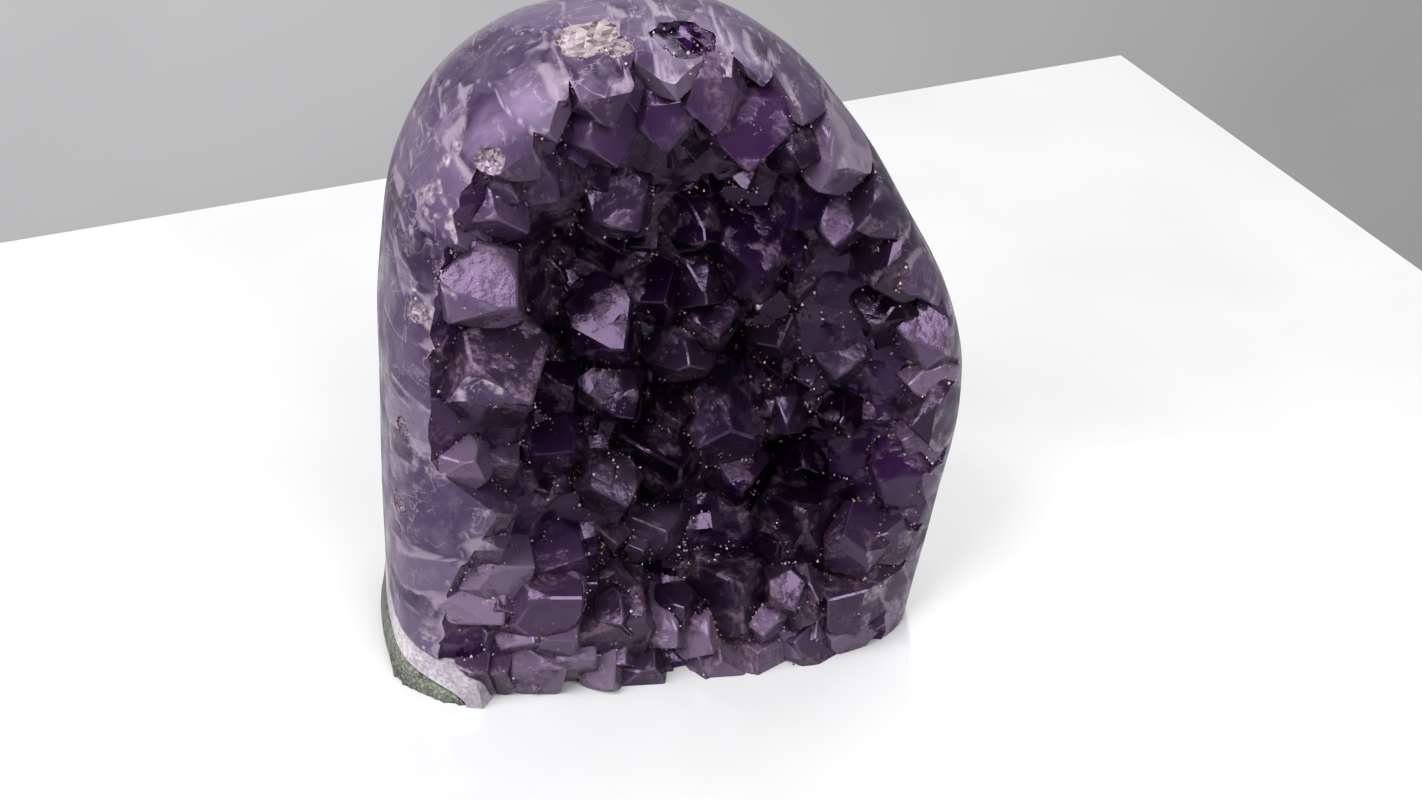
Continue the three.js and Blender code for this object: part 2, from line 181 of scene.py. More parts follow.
def outline_ring():
    bpy.ops.curve.primitive_bezier_circle_add()
    ring = bpy.context.object
    ring.data.dimensions = "3D"
    ring.data.resolution_u = 10
    points = ring.data.splines[0].bezier_points
    points.add(len(OUTLINE) - len(points))
    for point, (x, z) in zip(points, OUTLINE):
        point.co = (x * MM, 0, z * MM)
        point.handle_left_type = point.handle_right_type = "AUTO"
    pick(ring)
    bpy.ops.object.convert(target="MESH")
    return bpy.context.object


def polished_block():
    block = outline_ring()
    block.name = "block"
    enter(block, "VERT")
    was_y, was_share = 0, 1
    for number, (y, share) in enumerate(DEPTHS):
        if number:
            bpy.ops.mesh.extrude_region_move()
        bpy.ops.transform.translate(value=(0, (y - was_y) * MM, 0))
        size = share / was_share
        centre = (MIDDLE.x, y * MM, MIDDLE.z)
        bpy.ops.transform.resize(value=(size, 1, size), center_override=centre)
        if number == 0:
            first = [vertex.index for vertex in block.data.vertices]
        was_y, was_share = y, share
    bpy.ops.mesh.edge_face_add()
    leave()
    for vertex in block.data.vertices:
        vertex.select = vertex.co.y < (DEPTHS[0][0] + 0.1) * MM
    bpy.ops.object.mode_set(mode="EDIT")
    bpy.ops.mesh.edge_face_add()
    bpy.ops.mesh.select_all(action="SELECT")
    bpy.ops.mesh.normals_make_consistent(inside=False)
    leave()
    apply_modifier(block, "SUBSURF", levels=2, render_levels=2)
    for vertex in block.data.vertices:
        if vertex.co.y > POLISHED_TO * MM:
            vertex.co.y += ROCK_BUMP * MM * slow_waves(*vertex.co / MM, ROCK_WAVE)
    return block


block = polished_block()
enter(block)
bpy.ops.mesh.bisect(plane_co=(0, 0, 0), plane_no=(0, 0, 1), use_fill=True, clear_inner=True)
leave()
tell(block)

# %% [markdown]
# ## The face of the rock
#
# Everything behind the crystals starts at the face of the basalt. It slopes back upwards, bows
# forward to the sides, and a knob of it comes forward low in the left corner, where the rock and
# the agate can be seen from the front. The agate follows the same face a little further forward,
# as it does in a geode, where each layer of silica settled on the one before.
#
# A grid is laid over the whole block, pushed into the face's shape and extruded backwards. The
# block cut by such a solid is the rock, and what lies between two of them is the band.

# %% The face's shape, and the solid behind it
ROCK = {"y": 16, "slope": 0.12, "bow": 4, "bow_to": 48}
KNOB = {"forward": 36, "x": -49, "wide": 24, "tall": 7}
AGATE_THICKNESS = 3.2
SEAM = 0.3


def rock_face(x, z):
    knob = math.exp(-((max(z, 0) / KNOB["tall"]) ** 2) - ((x - KNOB["x"]) / KNOB["wide"]) ** 2)
    bow = ROCK["bow"] * (x / ROCK["bow_to"]) ** 2
    wave = 0.8 * slow_waves(x, 0, z, 23)
    return ROCK["y"] + ROCK["slope"] * (z - 50) - bow - KNOB["forward"] * knob + wave


def behind_face(depth, name):
    bpy.ops.mesh.primitive_grid_add(x_subdivisions=65, y_subdivisions=90, size=1)
    layer = bpy.context.object
    layer.name = name
    for vertex in layer.data.vertices:
        x = 130 * vertex.co.x
        z = 122 * (vertex.co.y + 0.5) ** 2 - 1
        vertex.co = Vector((x, rock_face(x, z - depth) - depth, z)) * MM
    enter(layer)
    back = (0, 60 * MM, 0)
    bpy.ops.mesh.extrude_region_move(TRANSFORM_OT_translate={"value": back})
    bpy.ops.transform.resize(value=(1, 0, 1), center_override=back)
    bpy.ops.mesh.select_all(action="SELECT")
    bpy.ops.mesh.normals_make_consistent(inside=False)
    leave()
    return layer


# %% [markdown]
# ## One crystal
#
# Quartz grows as a six-sided prism with a point of six faces, which stand at 38 degrees to its
# axis. Three of the six are usually broad and three are small, and no two sides are equally far
# from the axis. So a master starts as a fat six-sided cylinder, and each crystal face is a bisect
# that throws away what is outside. A narrow bevel rounds every edge, because a sharp edge would
# catch no light. A few masters with different faces are enough: turned and resized, no two look
# alike.

# %% The crystal masters
POINT = math.radians(38.2)
PRISM_LENGTH = 3.4
FACES = [  # how far each side and each face of the point stands out, in half-widths
    ((1.0, 0.92, 1.04, 0.96, 0.9, 1.0), (0.0, 0.2, 0.02, 0.3, 0.0, 0.12)),
    ((0.9, 1.0, 0.95, 1.08, 0.94, 0.9), (0.02, 0.34, 0.0, 0.14, 0.03, 0.26)),
    ((1.04, 0.94, 0.88, 1.0, 1.02, 0.95), (0.0, 0.12, 0.05, 0.4, 0.0, 0.3)),
    ((0.95, 1.0, 1.06, 0.9, 0.97, 1.08), (0.06, 0.22, 0.0, 0.1, 0.0, 0.4)),
    ((1.0, 1.05, 0.9, 0.95, 1.0, 0.88), (0.0, 0.38, 0.0, 0.34, 0.08, 0.16)),
]


BEVEL = 0.045
BEVEL_AREA = 0.1  # anything smaller is a bevel, not a crystal face


def crystal_master(number, sides, points):
    bpy.ops.mesh.primitive_cylinder_add(vertices=6, radius=2, depth=PRISM_LENGTH + 2)
    master = bpy.context.object
    master.name = f"crystal_{number}"
    enter(master)
    bpy.ops.transform.translate(value=(0, 0, 1 - PRISM_LENGTH / 2))
    for side in range(6):
        angle = math.radians(60 * side)
        out = Vector((math.sin(angle), math.cos(angle), 0))
        face = out * math.cos(POINT) + Vector((0, 0, math.sin(POINT)))
        for normal, reach in ((out, sides[side]), (face, points[side])):
            bpy.ops.mesh.select_all(action="SELECT")
            bpy.ops.mesh.bisect(
                plane_co=normal * reach, plane_no=normal, use_fill=True, clear_outer=True
            )
    bpy.ops.mesh.select_all(action="SELECT")
    bpy.ops.mesh.bevel(offset=BEVEL, segments=1)
    leave()
    for name in ("tint", "milk", "polish", "edge"):
        master.data.attributes.new(name, "FLOAT", "FACE")
    for polygon in master.data.polygons:
        master.data.attributes["edge"].data[polygon.index].value = float(polygon.area < BEVEL_AREA)
    master.hide_render = True
    return master


masters = [crystal_master(number, *faces) for number, faces in enumerate(FACES)]
tell(masters[0])

# %% [markdown]
# ## The floor of the hollow
#
# Under the points the amethyst is one solid mass, whose floor is a shallow bowl. It comes forward
# towards the sides, where the first crystals started, and a few deep gaps are left in it where the
# large crystals kept the light and the water off the small ones.

# %% The floor of the hollow
HOLLOW = {"y": -6, "rise": 14, "left": 42, "right": 52, "top": 80, "bottom": 50}
GAPS = [(-18, 70, 8), (6.5, 49, 6), (-10, 12, 5), (17, 27, 5), (-14, 60, 5)]  # x, z and reach
GAP_DEPTH = 6


def floor_at(x, z):
    across = x / (HOLLOW["right"] if x > 0 else HOLLOW["left"])
    along = (z - 50) / (HOLLOW["top"] if z > 50 else HOLLOW["bottom"])
    return HOLLOW["y"] - HOLLOW["rise"] * min(across ** 2 + along ** 2, 1)


def out_of_floor(x, z):
    step = 0.5
    slope_x = (floor_at(x + step, z) - floor_at(x - step, z)) / (2 * step)
    slope_z = (floor_at(x, z + step) - floor_at(x, z - step)) / (2 * step)
    return Vector((slope_x, -1, slope_z)).normalized()


def gap_at(x, z):
    depths = (math.exp(-(math.hypot(x - row[0], z - row[1]) / row[2]) ** 2) for row in GAPS)
    return GAP_DEPTH * max(depths)


print("the floor lies between", floor_at(0, 50), "and", floor_at(0, 100), "mm")

# %% [markdown]
# ## The large crystals
#
# Crystals grow square to the floor, more or less, crowd each other, and stop where they meet. The
# large ones are placed one by one: x and z of the tip, how far it stands out of the floor, half the
# crystal's width, its lean to the right and upwards, and its turn about its own axis. Towards the
# edge of the hollow they lean inwards and are milkier, and no tip passes the ground outside.

# %% The large crystals, row by row
LARGE = [
    # The upper left.
    (-19, 95.5, 7.5, 5.7, 0.1, -0.1, 0),
    (-32, 98.5, 7.5, 5.1, 0.4, 0, 90),
    (-22, 90.5, 6.5, 5.7, 0.1, 0, 180),
    (-11, 97, 5.5, 5.1, 0, 0.1, 30),
    (-10.5, 90, 5, 5.7, 0.1, 0, 0),
    (-19, 85, 2.5, 6.8, 0, 0.2, 180),
    (-24, 81, 3, 5.7, 0.2, 0.1, 0),
    # The upper middle.
    (-3, 91, 4.5, 5.1, 0, -0.2, 0),
    (-2, 99.5, 5.5, 4.8, 0.1, 0.1, 90),
    (3.5, 94, 5.5, 5.1, 0, 0, 0),
    (8.5, 88, 7.5, 7.4, 0, 0.1, 0),
    (-7.5, 79, 6.5, 6.3, 0.1, 0.1, 30),
    (2.5, 76, 6.5, 5.1, 0, 0.1, 180),
    (-10, 73, 1.5, 6.3, 0, 0, 0),
    (10.5, 70.5, 9.5, 8, 0, 0.1, 0),
    (-3.5, 65.5, 6.5, 5.5, 0, 0.3, 30),
    (3, 63.5, 5.5, 5.7, 0.1, -0.1, 60),
    # The upper right.
    (18.5, 84, 7.5, 5.9, -0.1, 0.1, 30),
    (16.5, 76, 5, 6.3, 0, 0, 60),
    (22, 73, 5, 5.7, 0, 0.1, 0),
    (27.5, 67, 7.5, 7.4, -0.1, 0.1, 30),
    (28, 59, 6, 5.7, -0.1, 0.2, 0),
    (18, 62, 2, 5.7, 0, 0, 0),
    # The left side.
    (-40, 68, 7.5, 6.8, 0.9, 0, 60),
    (-38, 55, 6.5, 5.7, 0.8, 0.2, 0),
    (-29, 36, 9.5, 8.5, 1, 0, 0),
    (-41, 32, 4.5, 4.1, 0.3, 0, 30),
    (-41, 25, 6.5, 4.6, 0.5, 0, 0),
    (-35, 28, 8.5, 7.1, 0.25, 0.55, 150),
    # The middle.
    (-10, 59.5, 8, 7.1, 0.1, 0.1, 30),
    (-18, 52, 4.5, 5.5, 0.2, 0.2, 0),
    (-9, 46, 7.5, 6.4, 0.1, -0.2, 30),
    (-18.5, 42, 6.5, 5.2, 0, 0.2, 30),
    (-27, 41, 3, 5.7, 0.2, 0.1, 0),
    (5, 58.5, 7, 5.2, 0.1, 0.1, 0),
    (0, 54, 7.5, 5.5, 0, 0.2, 60),
    (-1.5, 43.5, 6.5, 4.1, 0, 0.1, 0),
    (6, 43, 9.5, 8.7, 0.1, 0.3, 180),
    (-2, 37, 10, 9.3, 0, 0.1, 0),
    (-10.5, 31, 7.5, 5.2, 0.1, -0.3, 0),
    (-22, 33, 0.5, 6.8, 0, 0, 0),
    (9, 30, 5.5, 5.7, 0.1, -0.2, 0),
    (15, 54, 3.5, 5.5, 0, 0.2, 30),
    (16, 47, 1.5, 5.7, 0, 0, 0),
    (16, 39, 5, 3.9, 0, -0.3, 180),
    (24, 41, 5, 3.9, 0, 0.1, 30),
    (18.5, 33, 4.5, 3.9, 0.1, 0.2, 60),
    # The right side.
    (34, 42, 7.5, 6.8, -0.3, 0, 30),
    (29.5, 32, 6.5, 6.3, -0.2, 0.1, 0),
    (24, 48, 3.5, 5.7, 0, 0, 0),
    # The lower part, where the points stand up from the foot.
    (18, 28, 9, 8.7, 0.1, 0.5, 0),
    (23.5, 24.5, 9.5, 5.9, 0, 0.5, 180),
    (28, 22, 8, 5.2, -0.1, 0.2, 0),
    (-26, 25, 5.5, 6.3, 0.3, 0.2, 0),
    (-18, 24, 6.5, 6.3, 0.1, 0.3, 30),
    (-19, 20, 9.5, 7.5, 0.3, 0.3, 0),
    (-9, 14, 9.5, 9.1, 0.2, 0.1, 30),
    (-4, 24, 5, 5.7, 0, 0.2, 0),
    (-2.5, 13, 6.5, 4.1, 0, 0.2, 0),
    (6.5, 17.5, 10, 8.4, 0, 0.4, 0),
    (14.5, 15, 9, 5.9, 0, 0.3, 30),
    (21.5, 12.5, 9.5, 6.2, -0.1, 0.2, 0),
    (26.5, 15.5, 9, 5.5, 0, 0.3, 60),
    (32, 13, 7.5, 5.2, -0.2, 0, 0),
    (-39, 15, 6.5, 4.8, 0.3, 0, 30),
    (-22, 6.5, 9, 6.8, 0.1, 0, 0),
    (-40, 6, 7.5, 5.2, 0.3, 0, 0),
    (-8, 4, 8.5, 5.9, 0, -0.1, 30),
    (3, 4, 9, 5.7, 0, 0, 60),
    (9, 4.5, 9, 5.7, 0, 0, 0),
    (15.5, 5, 8.5, 6.2, 0, 0, 30),
    (22, 4, 8.5, 5.2, 0, 0, 0),
    (27.5, 5.5, 8.5, 5.5, -0.1, 0, 60),
]
print("large crystals:", len(LARGE))

# %% Growing one from its row
EDGE_X, EDGE_Z = 46, 57  # half the hollow's width and height
PULL, PULL_FROM = 2.4, 0.45  # how the crystals lean inwards towards the edge
STAND_MORE, STAND_FROM = 3.0, 0.6  # and how much further they stand out there
UNDER_SKIN = 2.2  # how deep under the ground skin the tips stay
STEEPEST = 0.35  # the least share of that depth that counts forwards where the skin is steep


def rim(x, z):
    return math.hypot(x / EDGE_X, (z - 50) / EDGE_Z)


def milk_and_painted_light(x, z, least, most):
    # milky quartz towards the rim; the extra milk to the left and at the foot is painted light, which
    # brightens the side that the key light falls on and the foot that the table lights
    left = max(-x / 40, 0)
    low = max((30 - z) / 26, 0)
    milk = 1.3 * max(rim(x, z) - 0.6, 0) + 0.5 * left ** 2 + 0.5 * low + random.uniform(least, most)
    return min(max(milk, 0), 1)


def skin_at(x, z):
    found, skin, normal, face = block.ray_cast(Vector((x, -100, z)) * MM, Vector((0, 1, 0)))
    return (skin / MM, normal) if found else (None, None)


def under_skin(tip, depth):
    skin, normal = skin_at(tip.x, tip.z)
    if skin:
        tip.y = max(tip.y, skin.y + depth / max(-normal.y, STEEPEST))
    return tip


def own_nature(turn, milk):
    return [turn, random.randrange(len(masters)), random.random(), milk]


def seed_crystal(x, z, stand, radius, lean_right, lean_up, turn):
    pull = PULL * max(rim(x, z) - PULL_FROM, 0)
    down = max(z - 40, 0) / EDGE_Z - 0.4 * max(20 - z, 0) / 20
    lean = Vector((lean_right, 0, lean_up)) + Vector((-x / EDGE_X, 0, -down)) * pull
    forward = stand + STAND_MORE * max(rim(x, z) - STAND_FROM, 0)
    tip = under_skin(Vector((x, floor_at(x, z) - forward, z)), UNDER_SKIN)
    axis = (out_of_floor(x, z) + lean).normalized()
    return [tip, axis, radius] + own_nature(turn, milk_and_painted_light(x, z, -0.12, 0.12))


def frame_of(axis):
    right = axis.cross(Vector((0, 0, 1))).normalized()
    up = right.cross(axis)
    return Matrix((-right, up, axis)).transposed()


# %% [markdown]
# ## The crystals of the rim
#
# The grinding cuts the hollow's outermost crystals lengthwise. They lie along the ground skin with
# their points towards the middle, a little less than half a width deep, so their flanks belong to
# the polish and their points stand free. On the left they turn outwards and show their faces.

# %% The rim, row by row
RIM = [  # x and z of the tip, the way it points in degrees, half its width
    # The left side, from the foot up.
    (-33, 7, 20, 5.5),
    (-29.5, 16, -12, 6.5),
    (-36, 23, 10, 4.5),
    (-28.5, 31, 4, 6.2),
    (-36, 39, -15, 5),
    (-33, 46.5, 35, 4.6),
    (-22.5, 57.5, -6, 8.6),
    (-35, 64, 5, 5),
    (-24.5, 72.5, -4, 7.2),
    (-36, 77, 0, 4.8),
    (-31, 85.5, 14, 5.6),
    (-36.5, 92, -10, 4.2),
    # Round the top.
    (-31, 94.5, -25, 4.6),
    (-27, 100.5, -35, 5.6),
    (-17, 103.5, -45, 6.8),
    (-8.5, 102.5, -70, 5),
    (-2.5, 104, -85, 5.6),
    (4, 103.5, -95, 4.8),
    (10.5, 100.5, -110, 6),
    (17, 95.5, -120, 6.4),
    # Down the right side.
    (23, 88, -140, 6),
    (28, 77.5, -155, 7.6),
    (33.5, 67, -165, 5.4),
    (35, 57, 175, 5.6),
    (37, 47, 175, 5),
    (36, 37, 165, 5.2),
    (33.5, 27, 155, 5),
    (33, 18, 140, 5.4),
    (30, 9, 125, 5),
    (34, 3, 110, 4.6),
]
POINT_LENGTH = 1 / math.tan(POINT)  # of a crystal with half-width 1
RIM_SINK = 0.9  # depth of the axis under the skin, in half-widths
RIM_UNDER_SKIN = 0.5
RIM_DIP = 0.16
RIM_LIFT, RIM_LIFT_FROM, RIM_LIFT_OVER = 0.9, 25, 45


def rim_crystal(x, z, way, radius):
    towards = Vector((math.cos(math.radians(way)), 0, math.sin(math.radians(way))))
    point = towards * radius * POINT_LENGTH
    skin, normal = skin_at(x - point.x, z - point.z)
    if not skin:
        skin, normal = skin_at(x, z)
        skin -= point
    lift = RIM_LIFT * min(max((RIM_LIFT_FROM - x) / RIM_LIFT_OVER, 0), 1) - RIM_DIP
    axis = (towards - normal * towards.dot(normal) + normal * lift).normalized()
    tip = skin - normal * radius * RIM_SINK + axis * radius * POINT_LENGTH
    tip = under_skin(tip, RIM_UNDER_SKIN)
    return [tip, axis, radius] + own_nature(60 * random.random(), milk_and_painted_light(x, z, 0.15, 0.4))


random.seed(7)
plan = [rim_crystal(*row) for row in RIM]
print("crystals of the rim:", len(plan))

# %% [markdown]
# ## The small crystals
#
# Some large crystals carry a smaller one in the same position, as quartz does where a second point
# starts on a flank. The rest of the floor is filled from an uneven triangular pattern, and a last
# few heads between them are only just reached by the grinding.

# %% The large crystals and what grew on them
for row in LARGE:
    crystal = seed_crystal(*row)
    plan.append(crystal)
    tip, axis, radius, *rest = crystal
    for extra in range(random.choice((0, 0, 1, 1))):
        side = Matrix.Rotation(random.uniform(0, 2 * math.pi), 3, axis) @ frame_of(axis).col[0]
        start = tip + side * radius * random.uniform(0.6, 0.9) - axis * radius * random.uniform(0.4, 0.8)
        plan.append([start, axis, radius * random.uniform(0.36, 0.55), *rest])
print("with the large crystals:", len(plan))

# %% The small ones between
FILL_SPACING, FILL_STRAY = 4.7, 1.6
HEAD_SPACING, HEAD_STRAY = 7.2, 1.8
HIGHEST, WIDEST = 112, 52


def free(x, z):
    if any(math.hypot(row[0] - x, row[1] - z) < 0.9 * row[3] for row in RIM):
        return False
    return all(math.hypot(row[0] - x, row[1] - z) > 0.85 * row[3] for row in LARGE)


def uneven_grid(spacing, stray):
    rise = spacing * math.sqrt(3) / 2
    for row in range(round(HIGHEST / rise)):
        for column in range(round(-WIDEST / spacing), round(WIDEST / spacing) + 1):
            x = (column + row % 2 / 2) * spacing + random.uniform(-stray, stray)
            yield x, row * rise + random.uniform(-stray, stray)


for x, z in uneven_grid(FILL_SPACING, FILL_STRAY):
    if rim(x, z) < 1 and free(x, z):
        stand = random.uniform(-0.8, 1.8) - gap_at(x, z)
        lean_right, lean_up = random.uniform(-0.3, 0.3), random.uniform(-0.2, 0.35)
        radius = random.uniform(3.0, 4.6) + 2.5 * max(rim(x, z) - 0.65, 0)
        plan.append(seed_crystal(x, z, stand, radius, lean_right, lean_up, 120 * random.random()))
print("with the small ones:", len(plan))

# %% The heads that the grinding has just reached
for x, z in uneven_grid(HEAD_SPACING, HEAD_STRAY):
    skin, normal = skin_at(x, z)
    low = z < 22
    if not skin or rim(x, z) < 0.68 or (x < -8 and not low) or not (low or free(x, z)):
        continue
    tip = skin + normal * (random.uniform(-2.6, 0) - 0.8 * low)
    lean = Vector((random.uniform(-0.3, 0.3), 0, random.uniform(-0.2, 0.4)))
    to_middle = Vector((-x / EDGE_X, 0, -max(z - 50, 0) / EDGE_Z)) * 0.6
    axis = (normal + lean + to_middle).normalized()
    nature = own_nature(120 * random.random(), milk_and_painted_light(x, z, -0.2, 0.1))
    plan.append([tip, axis, random.uniform(3.4, 5.6)] + nature)
print("with the heads between:", len(plan))

# %% [markdown]
# ## One mass of amethyst
#
# Crystals that grew together are one solid. Joining two small shapes is much quicker than joining
# a small one to a large one, so they are joined in pairs, then the pairs in pairs, in groups from
# the foot to the top. The floor's mass joins them all, the block's skin cuts off what stands out,
# and the agate's face cuts them off behind. Every face keeps what its mineral looked like.

# %% The mass under the crystals
def mark(piece, **values):
    for name, value in values.items():
        attribute = piece.data.attributes.new(name, "FLOAT", "FACE")
        attribute.data.foreach_set("value", [value] * len(piece.data.polygons))


FLOOR_SIZE, FLOOR_BUMP = 130, 1.5
BACK = (0, 60 * MM, 0)
bpy.ops.mesh.primitive_grid_add(x_subdivisions=60, y_subdivisions=65, size=1)
root = bpy.context.object
root.name = "amethyst"
for vertex in root.data.vertices:
    x, z = FLOOR_SIZE * vertex.co.x, FLOOR_SIZE * vertex.co.y + 50
    y = floor_at(x, z) + gap_at(x, z) + FLOOR_BUMP * random.random()
    vertex.co = Vector((x, y, z)) * MM
enter(root)
bpy.ops.mesh.extrude_region_move(TRANSFORM_OT_translate={"value": BACK})
bpy.ops.transform.resize(value=(1, 0, 1), center_override=BACK)
bpy.ops.mesh.select_all(action="SELECT")
bpy.ops.mesh.normals_make_consistent(inside=False)
leave()
mark(root, tint=0.5, milk=0.1, polish=0, edge=0)
mark(block, tint=0.5, milk=1, polish=1, edge=0)
tell(root)

# %% Grown together
GROUP = 16


def grow(tip, axis, radius, turn, master, tint, milk):
    crystal = copy_of(masters[master], "grown")
    spin = Matrix.Rotation(math.radians(turn), 3, "Z")
    turned = (frame_of(axis) @ spin).to_4x4()
    crystal.data.transform(Matrix.Translation(tip * MM) @ turned @ Matrix.Scale(radius * MM, 4))
    for name, value in (("tint", tint), ("milk", milk)):
        values = [value] * len(crystal.data.polygons)
        crystal.data.attributes[name].data.foreach_set("value", values)
    return crystal


def grown_together(parts):
    while len(parts) > 1:
        for part, other in zip(parts[::2], parts[1::2]):
            combine(part, other, "UNION")
            bpy.data.objects.remove(other)
        parts = parts[::2]
    return parts[0]


plan.sort(key=lambda crystal: crystal[0].z)
starts = range(0, len(plan), GROUP)
groups = [grown_together([grow(*crystal) for crystal in plan[start:start + GROUP]]) for start in starts]
amethyst = grown_together([root] + groups)
tell(amethyst)

# %% Ground to the block, and cut off behind
combine(amethyst, block, "INTERSECT")
front = behind_face(2 * SEAM + AGATE_THICKNESS, "front")
combine(amethyst, front, "DIFFERENCE")
bpy.data.objects.remove(front)
tell(amethyst)

# %% [markdown]
# ## Broken places in the polish
#
# Here and there a bit of crystal broke out of the polish and left a shallow, sugary, bright
# fracture, or bared a dark crystal inside. Each is an uneven flattened ball taken out of the skin.
# Its many small faces have their own random tints, light and dark, which also paint a sparkle.

# %% Broken places
BROKEN = [  # x, y, z of the middle, its half-width and depth, and how milky it is inside
    (-12.8, -7.4, 106.7, 4.4, 0.9, 1.8),
    (-9.4, -10.5, 106, 2.2, 1, 1.6),
    (0.6, -9.3, 106.6, 4.2, 2, 0),
    (-29.1, -17.2, 93.7, 2.1, 0.7, 1.5),
    (-37.1, -18, 77.8, 1.4, 0.6, 1.3),
    (-40.9, -16.1, 70.1, 1.9, 0.6, 1.5),
    (-44.4, -13.8, 49.3, 1.6, 0.6, 1.4),
    (-45.9, -12.2, 34.7, 1.7, 0.6, 1.4),
]
for number, (x, y, z, half, deep, milk) in enumerate(BROKEN):
    found, skin, normal, face = block.closest_point_on_mesh(Vector((x, y, z)) * MM)
    bpy.ops.mesh.primitive_ico_sphere_add(subdivisions=3, radius=1)
    hole = bpy.context.object
    for vertex in hole.data.vertices:
        lump = noise.noise(vertex.co * 2 + Vector((number, 0, 0)))
        local = vertex.co * (1 + 0.35 * lump + 0.16 * random.random())
        spot = Vector((local.x * half, local.y * half, local.z * deep))
        vertex.co = skin + frame_of(normal) @ spot * MM
    mark(hole, tint=0.5, milk=milk, polish=0, edge=0)
    # random tone for each small face, which also paints a sparkle
    tints = [random.random() for polygon in hole.data.polygons]
    hole.data.attributes["tint"].data.foreach_set("value", tints)
    combine(amethyst, hole, "DIFFERENCE")
    bpy.data.objects.remove(hole)
tell(amethyst)

# %% [markdown]
# ## Which crystal each point of the polish cut through
#
# The polish shows the sections of crystals. For every point of the piece, the crystal is found
# that it lies deepest inside, and the runner-up. Three numbers are kept: the tint of the first, how
# close the second comes, which is where the seam runs, and how deep the point lies in any at all.
# Numpy works through all points at once.

# %% How deep points lie in one crystal
SECTION_LENGTH = 6  # half-widths, the whole length that a cut crystal may show


def inside_measure(crystal, points):
    tip, axis, radius, turn, master, *rest = crystal
    spin = Matrix.Rotation(math.radians(turn), 3, "Z")
    local = (points - np.array(tip)) @ np.array(frame_of(axis) @ spin) / radius
    sides, tops = FACES[master]
    worst = np.full(len(points), -9.0)
    for side in range(6):
        angle = math.radians(60 * side)
        out = np.array((math.sin(angle), math.cos(angle), 0))
        face = out * math.cos(POINT) + np.array((0, 0, math.sin(POINT)))
        worst = np.maximum(worst, local @ out / sides[side] - 1)
        worst = np.maximum(worst, (local @ face - tops[side]) * 0.7)
    return np.where(local[:, 2] < -SECTION_LENGTH, 9.0, worst)


def sections(piece, crystals):
    count = len(piece.data.vertices)
    points = np.empty(count * 3)
    piece.data.vertices.foreach_get("co", points)
    points = points.reshape(count, 3) / MM
    best = np.full(count, 0.3)
    second = np.full(count, 0.6)
    shade = np.full(count, 0.95)
    for crystal in crystals:
        measure = inside_measure(crystal, points)
        closer = measure < best
        second = np.where(closer, best, np.minimum(second, measure))
        best = np.where(closer, measure, best)
        shade = np.where(closer, crystal[5], shade)
    for name, values in (("shade", shade), ("seam", second - best), ("loose", best)):
        piece.data.attributes.new(name, "FLOAT", "POINT").data.foreach_set("value", values)
    print("points on crystal sections:", int((best < 0).sum()), "of", count)


# %% Crystals that the polish cuts all round the outside
SIDE_STEP = 8  # degrees between two of them
# painted shade: sections above TOP_FROM are darkened, so that the back light does not make the top too
# bright
TOP_FROM, TOP_PAINTED_SHADE = 96, 0.55  # above this the sections are darker
DARK_CUTS = [  # x, y, z of the tip, half-width, and shade
    (-21, -8, 103, 6.5, 0.05),
    (-3, -4, 104, 7, 0.1),
    (6, -8, 103, 5, 0.3),
    (-6, -14, 103, 4, 0.2),
    (24, -10, 92, 5, 0.2),
    (-39, -17, 88, 3.6, 0.1),
    (-37, -18, 58, 7, 0.3),
    (-42, -16, 20, 6, 0.1),
    (-30, -16, 98, 4, 0.75),
    (14, -14, 101, 6, 0.15),
]
side_crystals = []
for x, y, z, radius, shade in DARK_CUTS:
    axis = Vector((-x / EDGE_X * 0.5, -1, -(z - 50) / EDGE_Z * 0.5)).normalized()
    side_crystals.append([Vector((x, y - radius, z)), axis, radius, 10, 0, shade, 1])
for angle in range(-30, 212, SIDE_STEP):
    way = math.radians(angle + random.uniform(-3, 3))
    outward = Vector((math.cos(way), 0, math.sin(way)))
    for forward in (-19, -9):
        start = MIDDLE + outward * 0.1
        start.y = forward * MM
        found, skin, normal, face = block.ray_cast(start, -outward)
        if not found or skin.z < 1 * MM:
            continue
        axis = Vector((random.gauss(0, 0.22), -1, random.gauss(0, 0.22))) - outward * 0.35
        stray = Vector((0, random.uniform(-4, 3), 0)) - normal * random.uniform(0.4, 2.5)
        nature = own_nature(60 * random.random(), 1)
        # painted shade: the tint of sections at the top is darkened
        nature[2] *= TOP_PAINTED_SHADE if skin.z > TOP_FROM * MM else 1
        radius = random.uniform(2.9, 5.4)
        side_crystals.append([skin / MM + stray, axis.normalized(), radius] + nature)
large_enough = [crystal for crystal in plan if crystal[2] > 3.9]
sections(amethyst, large_enough + side_crystals)

# %% How far inside the block each point lies
depths = amethyst.data.attributes.new("depth", "FLOAT", "POINT")
for vertex in amethyst.data.vertices:
    found, skin, normal, face = block.closest_point_on_mesh(vertex.co)
    depths.data[vertex.index].value = (skin - vertex.co).length / MM
print("the deepest point is", round(max(item.value for item in depths.data), 1), "mm inside")

# %% [markdown]
# ## The rock and the agate
#
# The rock is what the block has behind the rock's face, and the agate lies between that face and
# one a few millimetres further forward, with a hair's breadth of seam on both sides. The back and
# the lower sides are the broken wall of the geode: an even net of small faces is laid over the
# rock, and its points are pushed in unevenly where nobody ground it. The foot stays flat.

